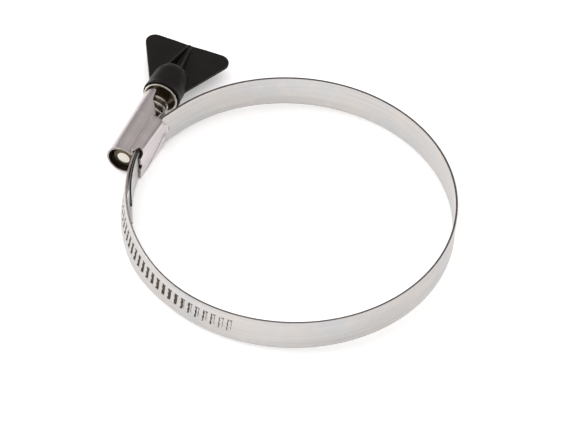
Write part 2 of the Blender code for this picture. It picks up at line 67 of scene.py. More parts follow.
# Band, as in the CAD model
BAND_WIDTH = 12.0 * MM
BAND_SHEET = 0.7 * MM
EDGE_ROUNDING = 0.16 * MM
RING_RADIUS = 53.55 * MM
TOOTH_RADIUS = 59.9 * MM
GEAR_RADIUS = 60.1 * MM
TAIL_ANGLE = 165.6  # degrees, seen from TOOTH_CENTRE
TOOTH_END_ANGLE = 235.0
SETTLE_ANGLE = 156.0  # degrees, seen from the ring's centre
SLEEVE_LEAN = 6.0  # degrees from the screw's direction
SLEEVE_DROP = 0.5 * MM
SLEEVE_BOTTOM_Y = 7.0 * MM
KINK_RADIUS = 2.0 * MM
HALF_SHEET = BAND_SHEET / 2
HALF_WIDTH = BAND_WIDTH / 2
STRIP_STEP = 0.75 * MM
END_ROWS = (0.05 * MM, 0.12 * MM)  # distances of the extra rows at a free end
TIP_CORNER_RADIUS = 2.2 * MM
BLEND_REACH = 0.42  # of the distance between hinges, on both sides of a hinge

# Teeth
PITCH = 2.7 * MM
THREAD_START_Y = -0.6 * MM
GROOVE_DEPTH = 0.42 * MM
GROOVE_LIP = 0.07 * MM
GROOVE_HALF_WIDTH = 0.78 * MM
GROOVE_TOP = 3.0 * MM
GROOVE_BOTTOM = -2.5 * MM
GROOVE_TILT = PITCH / (2 * math.pi * 4.2 * MM)  # the thread's own, just below its crest
GROOVE_STEPS = 12
FREE_SPACING = 2.79 * MM  # from groove to groove, once past the housing
ENGAGED_LENGTH = 21.7 * MM  # of the toothed end that the housing covers
LEAN = 1.6 * MM  # of the toothed end's lower edge, where the band is slack
LEAN_START = (20.5 * MM, 35.0 * MM)  # distances from the tail over which the lean comes in
LEAN_END = (58.0 * MM, 84.0 * MM)  # and over which it goes

# Tongue
TONGUE_GAP = 0.15 * MM
TONGUE_SPREAD = 1.5  # degrees away from the toothed end
TONGUE_END_ANGLE = 207.8  # degrees, seen from TOOTH_CENTRE
TONGUE_ROOT = 2.4 * MM  # inside the housing

# Screw
SCREW_X = -58.3 * MM
THREAD_RADIUS = 4.4 * MM
ROOT_RADIUS = 3.45 * MM
THREAD_STEP = 0.13 * MM
THREAD_SPAN = (-0.9 * MM, 27.3 * MM)  # y of its two ends
THREAD_RUN_IN = (-0.9 * MM, 0.6 * MM)
THREAD_RUN_OUT = (25.6 * MM, 27.2 * MM)
CREST_HALF_WIDTH = 0.22 * MM
FLANK_END = 0.88 * MM  # from the middle of the crest
CROWN_HEIGHT = 0.05 * MM
CROWN_HALF_WIDTH = 0.3 * MM
TIP_FACE_END_Y = -1.12 * MM
COLLAR_END_Y = 33.0 * MM
# the collar's hollow gets painted shade inside this radius
COLLAR_HOLLOW_RADIUS = 5.3 * MM
ROUND_STEPS = 72

# Housing
HOUSING_SHEET = 0.62 * MM
HOUSING_START_Y = -2.3 * MM
HOUSING_BASE_END_Y = 15.0 * MM
ROOF_END_Y = 27.9 * MM
ARCH_RADIUS = 5.0 * MM
NOSE_FLARE = 0.12 * MM
NOSE_FLARE_LENGTH = 1.2 * MM
ROOF_STEP = 0.07 * MM  # the roof is pressed in a little past the flap
ROOF_STEP_Y = (16.6 * MM, 17.2 * MM)  # from where to where
BAND_TO_FLANGE_GAP = 0.12 * MM
BAND_TO_FOLD_GAP = 0.15 * MM
FOLD_FLAT = 1.0 * MM  # of the part over the band's edge, on the blank
SHEET_ROUNDING = 0.2 * MM
FOLD_RADIUS = 0.55 * MM
FLAP_FOLD_RADIUS = 1.3 * MM
TAB_GAP = 0.3 * MM  # between the flap's tab and the band
TAB_RIM_Y = 16.3 * MM
NOSE_RIM_Y = HOUSING_START_Y + 0.2 * MM
FILLET_RADIUS = 0.45 * MM  # between the arch and the flanges
# the fillet between the arch and the flanges gets a lighter painted shade, reaching this far past it on both
# sides
FILLET_MARGIN = 0.1 * MM  # of the fillet's tone, on both sides of it
FLAP_FACE_LOW = -52.19 * MM  # x of the flap's back, at the nose
FLAP_FACE_HIGH = -51.0 * MM  # and at the base's upper end
SEAM_HIGH = (15.0 * MM, -0.3 * MM)  # (y, z) of the seam's two ends
SEAM_LOW = (2.9 * MM, -5.2 * MM)
SEAM_NOSE_Z = -5.9 * MM
SEAM_HALF_GAP = 0.18 * MM

JOINTS = {joint["name"]: joint for joint in frame["joints"]}
TOOTH_CENTRE = Vector(JOINTS["tooth_feed"]["pos_m"][:2])
TONGUE_HINGE = Vector(JOINTS["tongue_flex"]["pos_m"][:2])
FLEXES = sorted(name for name in JOINTS if name.startswith("flex_"))

# Wing
WING_TURN = 3.0  # degrees about the screw's axis
WING_LEAN = 1.0  # degrees: the moulding is pressed on a little askew
WING_SEAT_Y = 29.0 * MM

# Stage
FLOOR_Z = -6.87 * MM
FLOOR_REACH = 4.0  # metres

# Slots of the pieces that have more than one material
# slot 2 of the band and the housing holds painted shade
PLAIN, EDGE, PAINTED_SHADE = 0, 1, 2  # band and housing
# slot 3 of the housing holds the fillet's painted shade
VALLEY = 3  # housing
# slots 1 and 2 of the screw hold painted shade
THREAD_ROOT, COLLAR_HOLLOW = 1, 2  # screw


# ---------------------------------------------------------------- materials


class Nodes:
    """A material's node tree, with short calls to add and link nodes."""

    def __init__(self, name, colour, roughness, metallic):
        self.material = bpy.data.materials.new(name)
        self.material.use_nodes = True
        self.tree = self.material.node_tree
        self.shader = self.tree.nodes["Principled BSDF"]
        self.shader.inputs["Base Color"].default_value = (*colour, 1.0)
        self.shader.inputs["Roughness"].default_value = roughness
        self.shader.inputs["Metallic"].default_value = metallic
        self.bump = None

    def add(self, kind, inputs=None, **settings):
        """A new node. Its inputs are set to values or linked from sockets."""
        node = self.tree.nodes.new(kind)
        for name, value in settings.items():
            setattr(node, name, value)
        for name, value in (inputs or {}).items():
            if isinstance(value, bpy.types.NodeSocket):
                self.tree.links.new(value, node.inputs[name])
            else:
                node.inputs[name].default_value = value
        return node

    def link(self, socket, name):
        """Links a socket to the shader's input of this name."""
        self.tree.links.new(socket, self.shader.inputs[name])

    def noise(self, coordinates, scale, stretch=(1, 1, 1), detail=3.0, roughness=0.6):
        """Noise from 0 to 1. A stretch below 1 makes it longer along that axis."""
        mapping = self.add("ShaderNodeMapping", {"Vector": coordinates, "Scale": stretch})
        made = self.add(
            "ShaderNodeTexNoise",
            {"Vector": mapping.outputs["Vector"], "Scale": scale, "Detail": detail, "Roughness": roughness},
        )
        return made.outputs["Fac"]

    def ramp(self, value, low, high, start, end):
        """Turns low to high into start to end, and holds the ends."""
        return self.add(
            "ShaderNodeMapRange",
            {"Value": value, "From Min": low, "From Max": high, "To Min": start, "To Max": end},
        ).outputs["Result"]

    def mix(self, factor, a, b):
        """The colour a where the factor is 0, and b where it is 1."""
        node = self.add("ShaderNodeMix", data_type="RGBA")
        for value, index in ((factor, 0), (a, 6), (b, 7)):
            if isinstance(value, bpy.types.NodeSocket):
                self.tree.links.new(value, node.inputs[index])
            else:
                node.inputs[index].default_value = value if index == 0 else (*value, 1.0)
        return node.outputs[2]

    def add_bump(self, height, strength, distance):
        """Adds a bump on top of the ones before."""
        inputs = {"Height": height, "Strength": strength, "Distance": distance}
        if self.bump is not None:
            inputs["Normal"] = self.bump.outputs["Normal"]
        self.bump = self.add("ShaderNodeBump", inputs)
        self.link(self.bump.outputs["Normal"], "Normal")


def steel(name, base, tints, roughness, coordinate="UV", along=1, grain=1.0, spots=0.5):
    """Rolled or pressed steel: a fine grain along one axis, soft cloudy tints, and a few darker specks."""
    nodes = Nodes(name, base, roughness[0], 1.0)
    where = nodes.add("ShaderNodeTexCoord").outputs[coordinate]
    stretch = [1.0, 1.0, 1.0]
    stretch[along] = 0.03
    lines = nodes.noise(where, 5200.0, stretch, 3.0, 0.7)
    streaks = nodes.noise(where, 900.0, stretch, 2.0)
    clouds = nodes.noise(where, 62.0, (1, 1, 1), 3.0, 0.55)
    patches = nodes.noise(where, 190.0, (1, 1, 1), 4.0, 0.6)
    colour = nodes.mix(nodes.ramp(clouds, 0.38, 0.62, 0.0, 1.0), tints[0], tints[1])
    colour = nodes.mix(nodes.ramp(patches, 0.5, 0.72, 0.0, 0.75), colour, tints[2])
    colour = nodes.mix(nodes.ramp(streaks, 0.35, 0.75, 0.0, 0.22), colour, tuple(0.55 * c for c in base))
    specks = nodes.noise(where, 1500.0, (1, 1, 1), 2.0, 0.5)
    colour = nodes.mix(nodes.ramp(specks, 0.71, 0.76, 0.0, spots), colour, tuple(0.3 * c for c in base))
    nodes.link(colour, "Base Color")
    nodes.link(nodes.ramp(streaks, 0.3, 0.7, roughness[0], roughness[1]), "Roughness")
    nodes.add_bump(lines, 0.16 * grain, 0.00003)
    nodes.add_bump(clouds, 0.25 * grain, 0.0001)
    return nodes.material


def cut_edge_or_painted_shade(name, base):
    """Cut metal, or painted shade on metal, in one colour: rougher than the faces, with a soft change of
    tone.
    """
    nodes = Nodes(name, base, 0.42, 1.0)
    where = nodes.add("ShaderNodeTexCoord").outputs["Object"]
    tone = nodes.ramp(nodes.noise(where, 700.0, (1, 1, 1), 3.0), 0.35, 0.7, 0.0, 1.0)
    nodes.link(nodes.mix(tone, base, tuple(1.7 * c for c in base)), "Base Color")
    nodes.add_bump(nodes.noise(where, 2500.0), 0.2, 0.00004)
    return nodes.material


def band_edge_painted_light_and_shade(name, tail, rest, low, high):
    """The band's cut edges: painted light along the toothed tail, and painted shade round the hose.

    low and high are the distances from the tail between which they change.
    """
    nodes = Nodes(name, rest, 0.42, 1.0)
    coordinates = nodes.add("ShaderNodeTexCoord").outputs
    along = nodes.add("ShaderNodeSeparateXYZ")
    nodes.tree.links.new(coordinates["UV"], along.inputs[0])
    tone = nodes.noise(coordinates["Object"], 700.0, (1, 1, 1), 3.0)
    place = nodes.ramp(along.outputs["X"], low, high, 0.0, 1.0)
    # tail is the painted light and rest the painted shade
    colour = nodes.mix(place, tail, rest)
    darker = nodes.mix(place, tuple(0.7 * c for c in tail), tuple(0.6 * c for c in rest))
    nodes.link(nodes.mix(nodes.ramp(tone, 0.35, 0.7, 0.0, 1.0), darker, colour), "Base Color")
    nodes.add_bump(nodes.noise(coordinates["Object"], 2500.0), 0.2, 0.00004)
    return nodes.material


def plastic(name):
    """Moulded black plastic: nearly black, with a fine matt grain and a painted highlight on what stands
    out.
    """
    nodes = Nodes(name, (0.008, 0.006, 0.006), 0.42, 0.0)
    nodes.shader.inputs["Specular IOR Level"].default_value = 0.20
    where = nodes.add("ShaderNodeTexCoord").outputs["Object"]
    clouds = nodes.noise(where, 160.0, (1, 1, 1), 3.0)
    grain = nodes.noise(where, 2600.0, (1, 1, 1), 2.0)
    pointiness = nodes.add("ShaderNodeNewGeometry").outputs["Pointiness"]
    tone = nodes.ramp(clouds, 0.35, 0.7, 0.0, 1.0)
    colour = nodes.mix(tone, (0.005, 0.004, 0.0034), (0.0095, 0.0075, 0.0068))
    # painted highlight: edges that stand out get lighter
    colour = nodes.mix(nodes.ramp(pointiness, 0.52, 0.60, 0.0, 0.35), colour, (0.07, 0.06, 0.062))
    nodes.link(colour, "Base Color")
    nodes.link(nodes.ramp(clouds, 0.3, 0.7, 0.36, 0.52), "Roughness")
    nodes.add_bump(grain, 0.12, 0.00003)
    return nodes.material


BAND_STEEL = steel(
    "band_steel", (0.58, 0.565, 0.55),
    [(0.593, 0.565, 0.54), (0.548, 0.554, 0.559), (0.625, 0.588, 0.559)], (0.28, 0.40), "UV", 0)
# the band's edges: painted light along the toothed tail, painted shade round the hose
BAND_EDGE_PAINTED_LIGHT_AND_SHADE = band_edge_painted_light_and_shade("band_edge_painted_light_and_shade", (0.60, 0.53, 0.50), (0.19, 0.17, 0.165), 0.05, 0.085)
# near black: painted shade of the gap along the tongue's edges
TONGUE_EDGE_PAINTED_SHADE = cut_edge_or_painted_shade("tongue_edge_painted_shade", (0.05, 0.045, 0.045))
# painted shade: near black in the grooves and on the toothed end's upper inner corner
GROOVE_PAINTED_SHADE = cut_edge_or_painted_shade("groove_painted_shade", (0.06, 0.047, 0.035))
HOUSING_STEEL = steel(
    "housing_steel", (0.66, 0.61, 0.62),
    [(0.64, 0.59, 0.60), (0.69, 0.64, 0.64), (0.74, 0.69, 0.68)], (0.30, 0.42), "Object", 1, 1.3)
HOUSING_EDGE = cut_edge_or_painted_shade("housing_edge", (0.30, 0.27, 0.25))
# painted shade on the housing's inner face and the flaps' rims, and painted shadow along the seam and on the
# tab's end
HOUSING_PAINTED_SHADE = cut_edge_or_painted_shade("housing_painted_shade", (0.06, 0.05, 0.04))
# a lighter painted shade in the fillet between the arch and the flanges
HOUSING_FILLET_PAINTED_SHADE = cut_edge_or_painted_shade("housing_fillet_painted_shade", (0.36, 0.335, 0.34))
SCREW_STEEL = steel(
    "screw_steel", (0.72, 0.69, 0.62),
    [(0.74, 0.71, 0.65), (0.64, 0.61, 0.55), (0.80, 0.78, 0.72)], (0.22, 0.36), "Object", 0, 0.8)
# painted shade at the thread's root
SCREW_PAINTED_SHADE = cut_edge_or_painted_shade("screw_painted_shade", (0.08, 0.066, 0.045))
# painted shade in the collar's hollow
COLLAR_PAINTED_SHADE = cut_edge_or_painted_shade("collar_painted_shade", (0.21, 0.175, 0.125))
WING_PLASTIC = plastic("wing_plastic")


# ---------------------------------------------------------------- helpers


def direction(degrees):
    """The unit vector at an angle from +X towards +Y."""
    return Vector((math.cos(math.radians(degrees)), math.sin(math.radians(degrees))))


def angle_of(vector):
    """The angle of a vector from +X towards +Y, from 0 to 360 degrees."""
    return math.degrees(math.atan2(vector.y, vector.x)) % 360.0


def smooth(value, low, high):
    """From 0 at low to 1 at high, with a soft start and end."""
    t = min(1.0, max(0.0, (value - low) / (high - low)))
    return t * t * (3 - 2 * t)


def new_piece(name, mesh, materials):
    """A new object in the scene with this mesh and these materials."""
    piece = bpy.data.objects.new(name, mesh)
    bpy.context.scene.collection.objects.link(piece)
    for material in materials:
        mesh.materials.append(material)
    return piece


def new_mesh(name, bm):
    """A mesh made from bm, which is freed."""
    mesh = bpy.data.meshes.new(name)
    bm.to_mesh(mesh)
    bm.free()
    return mesh


def baked_mesh(piece):
    """The piece's mesh with its modifiers applied, as the new mesh of the piece."""
    bpy.context.view_layer.update()
    evaluated = piece.evaluated_get(bpy.context.evaluated_depsgraph_get())
    mesh = bpy.data.meshes.new_from_object(evaluated)
    piece.modifiers.clear()
    piece.data = mesh
    return mesh


def shade(piece, angle):
    """Smooth shading, with sharp edges where faces meet at more than the angle in degrees."""
    piece.data.shade_smooth()
    piece.data.set_sharp_from_angle(angle=math.radians(angle))


def ring(bm, x, y, radii):
    """Vertices round the line through x along +Y, one for each radius, or a single one on the line."""
    if not any(radii):
        return [bm.verts.new((x, y, 0.0))]
    vertices = []
    for i, radius in enumerate(radii):
        turn = 2 * math.pi * i / len(radii)
        vertices.append(bm.verts.new((x + radius * math.cos(turn), y, -radius * math.sin(turn))))
    return vertices


def turned_rings(bm, x, profile, unit):
    """A ring for each (y, radius) of a turned profile, in this unit of length."""
    return [ring(bm, x, y * unit, [radius * unit] * ROUND_STEPS) for y, radius in profile]


def join_rings(bm, rings):
    """Faces between neighbouring rings of vertices. A ring of one vertex closes an end."""
    for low, high in zip(rings, rings[1:]):
        count = max(len(low), len(high))
        for i in range(count):
            j = (i + 1) % count
            if len(low) == 1:
                bm.faces.new((low[0], high[i], high[j]))
            elif len(high) == 1:
                bm.faces.new((low[i], low[j], high[0]))
            else:
                bm.faces.new((low[i], low[j], high[j], high[i]))


# ---------------------------------------------------------------- the band's middle line


class Arc:
    """Part of the middle line: an arc from a start angle, turning left."""

    def __init__(self, centre, radius, start, turn):
        self.centre, self.radius, self.start = Vector(centre), radius, start
        self.length = math.radians(turn) * radius

    def at(self, s):
        """The point and the outward direction at a distance from the start."""
        out = direction(self.start + math.degrees(s / self.radius))
        return self.centre + self.radius * out, out


class Line:
    """Part of the middle line: straight from a start to an end."""

    def __init__(self, start, end):
        self.start, self.along = start, (end - start).normalized()
        self.length = (end - start).length

    def at(self, s):
        """The point and the outward direction at a distance from the start."""
        return self.start + s * self.along, Vector((self.along.y, -self.along.x))


def sleeve_parts():
    """From the end of the ring: straight on, round a tight bend, and down in the sleeve."""
    lean = Vector((math.sin(math.radians(SLEEVE_LEAN)), math.cos(math.radians(SLEEVE_LEAN))))
    inner = TOOTH_RADIUS - HALF_SHEET
    mouth_x = TOOTH_CENTRE.x - math.sqrt(inner**2 - (HOUSING_BASE_END_Y - TOOTH_CENTRE.y) ** 2)
    mouth = Vector((mouth_x + SLEEVE_DROP + HALF_SHEET, HOUSING_BASE_END_Y))
    bottom = mouth + lean * ((SLEEVE_BOTTOM_Y - mouth.y) / lean.y)
    settle = RING_RADIUS * direction(SETTLE_ANGLE)
    straight = direction(SETTLE_ANGLE - 90.0)
    across = Vector((-straight.y, straight.x))
    kink = mouth + lean * ((settle - mouth).dot(across) / lean.dot(across))
    turn = lean.angle(straight)
    cut = KINK_RADIUS * math.tan(turn / 2)
    bend_end = kink - lean * cut
    bend_start = kink + straight * cut
    centre = bend_end + Vector((lean.y, -lean.x)) * KINK_RADIUS
    bend = Arc(centre, KINK_RADIUS, angle_of(bend_start - centre), math.degrees(turn))
    return [Line(settle, bend_start), bend, Line(bend_end, bottom)]


def middle_line():
    """The band's parts from its toothed tail round the hose to the sleeve, and the toothed end's length."""
    towards_end = direction(TOOTH_END_ANGLE)
    spare = TOOTH_RADIUS - RING_RADIUS
    away = TOOTH_CENTRE.dot(towards_end) + spare
    offset = (spare**2 - TOOTH_CENTRE.length_squared) / (2 * away)
    settle_centre = TOOTH_CENTRE + offset * towards_end
    ring_start = angle_of(settle_centre)
    toothed = Arc(TOOTH_CENTRE, TOOTH_RADIUS, TAIL_ANGLE, TOOTH_END_ANGLE - TAIL_ANGLE)
    settling = Arc(settle_centre, TOOTH_RADIUS - offset, TOOTH_END_ANGLE, ring_start - TOOTH_END_ANGLE)
    hose_ring = Arc((0.0, 0.0), RING_RADIUS, ring_start, 360.0 + SETTLE_ANGLE - ring_start)
    return [toothed, settling, hose_ring] + sleeve_parts(), toothed.length


PARTS, TOOTHED_LENGTH = middle_line()
TOTAL_LENGTH = sum(part.length for part in PARTS)


def on_line(s):
    """The middle line's point and outward direction, at a distance from the toothed tail."""
    for part in PARTS[:-1]:
        if s <= part.length:
            return part.at(s)
        s -= part.length
    return PARTS[-1].at(s)


def nearest_distance(point):
    """Distance along the line of the point on it that is nearest to the given one."""
    steps = 4000

    def gap(i):
        return (on_line(TOTAL_LENGTH * i / steps)[0] - point).length_squared

    return TOTAL_LENGTH * min(range(steps + 1), key=gap) / steps


# ---------------------------------------------------------------- band


def first_groove():
    """Distance from the tail to its first groove, where the teeth mesh with the thread."""
    pitch_angle = PITCH / GEAR_RADIUS
    crest = math.radians(180.0 - TAIL_ANGLE) - (THREAD_START_Y - TOOTH_CENTRE.y) % PITCH / GEAR_RADIUS
    return (crest % pitch_angle) * TOOTH_RADIUS


FIRST_GROOVE = first_groove()
GROOVE_SPACING = PITCH * TOOTH_RADIUS / GEAR_RADIUS
FADE_START = TOOTHED_LENGTH + 21.0 * MM  # the grooves get shallower and shorter from here
FADE_END = TOOTHED_LENGTH + 32.5 * MM
# a groove's painted shade gets narrower over this length
NARROWING_LENGTH = 16.0 * MM  # just before the fade, where a groove's dark part gets narrower


def nearest_groove(slanted):
    """Number of the nearest groove and the place of its middle. Past the housing they are spaced wider."""
    if slanted < ENGAGED_LENGTH:
        index = round((slanted - FIRST_GROOVE) / GROOVE_SPACING)
        return index, FIRST_GROOVE + index * GROOVE_SPACING
    start = (ENGAGED_LENGTH - FIRST_GROOVE) / GROOVE_SPACING
    index = round(start + (slanted - ENGAGED_LENGTH) / FREE_SPACING)
    return index, ENGAGED_LENGTH + (index - start) * FREE_SPACING


def groove_depth(s, z):
    """How far the outer face is pressed in here: slanted rounded grooves that fade out along the ring.

    across and up are measured from the groove's middle, in half widths and half heights.
    """
    if s < FIRST_GROOVE - PITCH or s > FADE_END + PITCH:
        return 0.0
    slanted = s - GROOVE_TILT * z
    index, middle = nearest_groove(slanted)
    if index < 0:
        return 0.0
    fade = 1.0 - smooth(middle, FADE_START, FADE_END)
    if fade <= 0.02:
        return 0.0
    top = GROOVE_BOTTOM + (GROOVE_TOP - GROOVE_BOTTOM) * (0.25 + 0.75 * fade)
    across = (slanted - middle) / GROOVE_HALF_WIDTH
    centre, half = (top + GROOVE_BOTTOM) / 2, (top - GROOVE_BOTTOM) / 2
    up = (z - centre) / half
    if abs(up) > 1.25 or abs(across) > 1.7:
        return 0.0
    # a steep side towards the ring and a gentler one towards the tail
    skewed = across * (1.15 if across > 0 else 0.9)
    end = max(0.0, abs(up) - 0.55) / 0.45
    radial = math.sqrt(skewed**2 + end**2)
    hollow = 1.0 - smooth(radial, 0.35, 1.05)
    lip = smooth(radial, 0.9, 1.15) * (1.0 - smooth(radial, 1.15, 1.5))
    return fade * (GROOVE_DEPTH * hollow - GROOVE_LIP * lip)


def painted_groove_shade(s, z):
    """The slot of a place on the outer face: painted shade in a groove, and in its upper corner towards the
    ring.
    """
    if s < FIRST_GROOVE - PITCH:
        return PLAIN
    slanted = s - GROOVE_TILT * z
    index, middle = nearest_groove(slanted)
    fade = 1.0 - smooth(middle, FADE_START, FADE_END)
    if index < 0 or fade < 0.05:
        return PLAIN
    # a fading groove gets the band edge's lighter painted shade
    dark = PAINTED_SHADE if fade > 0.6 else EDGE  # a fading groove is less dark
    across = (slanted - middle) / GROOVE_HALF_WIDTH
    up = (2 * z - GROOVE_TOP - GROOVE_BOTTOM) / (GROOVE_TOP - GROOVE_BOTTOM)
    late = smooth(middle, FADE_START - NARROWING_LENGTH, FADE_START)
    hollow = -0.9 < across < 0.7 - 1.1 * late and -1.0 < up < 1.0
    upper_corner = 0.0 < across < 1.15 and 0.8 < up < 1.05
    late_far_side = late > 0.4 and 0.7 < across < 0.95 and -0.6 < up < 1.0
    return dark if hollow or upper_corner or late_far_side else PLAIN


def toothed_lean(s):
    """How far the lower edge of the slack toothed end leans out under its upper edge."""
    return LEAN * smooth(s, *LEAN_START) * (1.0 - smooth(s, *LEAN_END))


def section_heights(fine):
    """z of the rows on the band's outer face, from its lower to its upper edge."""
    flat = HALF_WIDTH - EDGE_ROUNDING
    if not fine:
        return [-flat, -flat / 2, 0.0, flat / 2, flat]
    rows = [-flat, -4.4 * MM, -3.2 * MM]
    rows += [(-2.7 + 0.3 * i) * MM for i in range(22)]  # close together over the grooves
    return rows + [4.5 * MM, flat]


def section_corner(side_out, side_up, angles):
    """Points round one rounded corner of the cross-section, at these angles."""
    out_middle = side_out * (HALF_SHEET - EDGE_ROUNDING)
    up_middle = side_up * (HALF_WIDTH - EDGE_ROUNDING)
    points = []
    for angle in angles:
        out = direction(angle)
        points.append((out_middle + EDGE_ROUNDING * out.x, up_middle + EDGE_ROUNDING * out.y, out.x, out.y))
    return points


def band_section(fine):
    """The closed cross-section as (offset outwards, z, normal's part outwards, normal's part upwards)."""
    section = [(HALF_SHEET, z, 1.0, 0.0) for z in section_heights(fine)]
    section += section_corner(1, 1, range(30, 91, 30))
    section += section_corner(-1, 1, range(90, 181, 30))
    section += [(-HALF_SHEET, z, -1.0, 0.0) for z in section_heights(False)[-2::-1]]
    section += section_corner(-1, -1, range(210, 271, 30))
    return section + section_corner(1, -1, range(270, 331, 30))


def tail_width(s, total, ends):
    """Share of the full width: the free ends of the strip have rounded corners."""
    share = 1.0
    reach = TIP_CORNER_RADIUS
    for is_free, gap in ((ends[0], s), (ends[1], total - s)):
        if is_free and gap < reach:
            half = HALF_WIDTH - reach + math.sqrt(max(0.0, reach**2 - (reach - gap) ** 2))
            share = min(share, half / HALF_WIDTH)
    return share


def strip_distances(start, end, fine, ends):
    """Distances of the rows of vertices along a strip, with extra ones close to a free end."""
    count = max(2, math.ceil((end - start) / (GROOVE_SPACING / GROOVE_STEPS if fine else STRIP_STEP)))
    distances = [start + (end - start) * i / count for i in range(count + 1)]
    if ends[0]:
        distances[1:1] = [start + gap for gap in END_ROWS]
    if ends[1]:
        distances[-1:-1] = [end - gap for gap in END_ROWS[::-1]]
    return distances


def strip_rows(bm, place, distances, section, grooved, ends):
    """A row of vertices for each distance, and the normals of all the vertices in their order."""
    start, end = distances[0], distances[-1]
    rows, normals = [], []
    for s in distances:
        point, out = place(s)
        share = tail_width(s - start, end - start, ends)
        row = []
        for offset, height, normal_out, normal_up in section:
            z = height * share
            press = groove_depth(s, z) if grooved and normal_out == 1.0 else 0.0
            lean = toothed_lean(s) * (HALF_WIDTH - z) / BAND_WIDTH if grooved else 0.0
            flat = point + (offset - press + lean) * out
            row.append(bm.verts.new((flat.x, flat.y, z)))
            normals.append(Vector((out.x * normal_out, out.y * normal_out, normal_up)))
        rows.append(row)
    return rows, normals


def strip_slot(here, after, s, grooved):
    """The slot of the face between two neighbouring points of the cross-section, at a distance."""
    offset, low, normal_out, _ = here
    middle = (low + after[1]) / 2
    if grooved and normal_out == 1.0:
        return painted_groove_shade(s, middle)
    margin = 0.01 * EDGE_ROUNDING
    corner_offset = HALF_SHEET - EDGE_ROUNDING
    in_edge = abs(middle) > HALF_WIDTH - EDGE_ROUNDING - margin
    # painted shade on the toothed end's upper inner corner
    if grooved and in_edge and middle > 0 and offset < -corner_offset - margin:
        return PAINTED_SHADE
    # the other edges get the band edge's painted light and shade
    # the upper outer corner is as bright as the face
    if in_edge and (middle < 0 or offset < corner_offset + margin):
        return EDGE
    return PLAIN


def set_strip_normals(mesh, normals):
    """Gives each face's corners the normals of their vertices. The last two faces, the caps, stay flat."""
    split = []
    for polygon in mesh.polygons:
        is_cap = polygon.index >= len(mesh.polygons) - 2
        for index in polygon.loop_indices:
            split.append(polygon.normal.copy() if is_cap else normals[mesh.loops[index].vertex_index])
    mesh.normals_split_custom_set(split)


def band_strip(name, place, start, end, grooved, ends=(False, False), uv_start=0.0):
    """One closed length of the band. place(s) gives a point and the outward direction.

    ends says which of its two ends are free.
    """
    distances = strip_distances(start, end, grooved, ends)
    section = band_section(grooved)
    size = len(section)
    bm = bmesh.new()
    uv_layer = bm.loops.layers.uv.new("UVMap")
    rows, normals = strip_rows(bm, place, distances, section, grooved, ends)
    for i, (low, high) in enumerate(zip(rows, rows[1:])):
        middle = (distances[i] + distances[i + 1]) / 2
        for j in range(size):
            k = (j + 1) % size
            face = bm.faces.new((low[j], low[k], high[k], high[j]))
            face.material_index = strip_slot(section[j], section[k], middle, grooved)
            for loop, at in zip(face.loops, (i, i, i + 1, i + 1)):
                loop[uv_layer].uv = (uv_start + distances[at], loop.vert.co.z)
    bm.faces.new(rows[0])
    bm.faces.new(rows[-1][::-1])
    bmesh.ops.recalc_face_normals(bm, faces=bm.faces)
    mesh = new_mesh(name, bm)
    mesh.shade_smooth()
    if grooved:
        mesh.set_sharp_from_angle(angle=math.radians(50))
        return new_piece(name, mesh, [BAND_STEEL, BAND_EDGE_PAINTED_LIGHT_AND_SHADE, GROOVE_PAINTED_SHADE])
    set_strip_normals(mesh, normals)
    return new_piece(name, mesh, [BAND_STEEL, BAND_EDGE_PAINTED_LIGHT_AND_SHADE])


def chain_bodies():
    """The bodies that the band rides on, from the toothed end to the fixed end."""
    return [JOINTS[FLEXES[0]]["parent"]] + [JOINTS[name]["child"] for name in FLEXES]


def build_band():
    """The band as lengths that meet in the middle of the CAD model's arcs, each round one hinge."""
    bodies = chain_bodies()
    hinges = [nearest_distance(Vector(JOINTS[name]["pos_m"][:2])) for name in FLEXES]
    spacing = hinges[1] - hinges[0]
    reach = BLEND_REACH * spacing
    cuts = [hinges[0] - 0.5 * spacing]
    cuts += [(a + b) / 2 for a, b in zip(hinges, hinges[1:])]
    cuts.append(TOTAL_LENGTH)
    tail = band_strip("toothed_end", on_line, 0.0, cuts[0], True, (True, False))
    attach(tail, bodies[0])
    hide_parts("band_toothed_end")
    for i, (start, end) in enumerate(zip(cuts, cuts[1:])):
        piece = band_strip(f"band_length_{i + 1:02d}", on_line, start, end, start < FADE_END)
        node = "band_fixed_end" if i == len(cuts) - 2 else f"band_arc_{i + 1:02d}"
        low = on_line(hinges[i] - reach)[0]
        high = on_line(min(hinges[i] + reach, TOTAL_LENGTH))[0]
        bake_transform(piece)
        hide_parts(node)


def build_tongue():
    """The free tongue under the toothed end. Past its hinge it stands a little away from the toothed end."""
    radius = TOOTH_RADIUS - BAND_SHEET - TONGUE_GAP
    first = 180.0 - math.degrees(math.asin((TONGUE_HINGE.y - TOOTH_CENTRE.y) / radius))
    length = math.radians(TONGUE_END_ANGLE - first) * radius
    spread = Matrix.Rotation(math.radians(TONGUE_SPREAD), 2)

    def place(s):
        out = direction(first + math.degrees((s - TONGUE_ROOT) / radius))
        point = TOOTH_CENTRE + radius * out
        if s < TONGUE_ROOT:
            return point, out
        return TONGUE_HINGE + spread @ (point - TONGUE_HINGE), spread @ out

    piece = band_strip("tongue", place, 0.0, TONGUE_ROOT + length, False, (False, True), 0.2)
    # the tongue's edges get painted shade
    piece.data.materials[1] = TONGUE_EDGE_PAINTED_SHADE
    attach(piece, "tongue")
    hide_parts("band_tongue")


# ---------------------------------------------------------------- housing


FLANGE_X = TOOTH_CENTRE.x - TOOTH_RADIUS - HALF_SHEET - BAND_TO_FLANGE_GAP - HOUSING_SHEET / 2
EDGE_Z = HALF_WIDTH + BAND_TO_FOLD_GAP + HOUSING_SHEET / 2


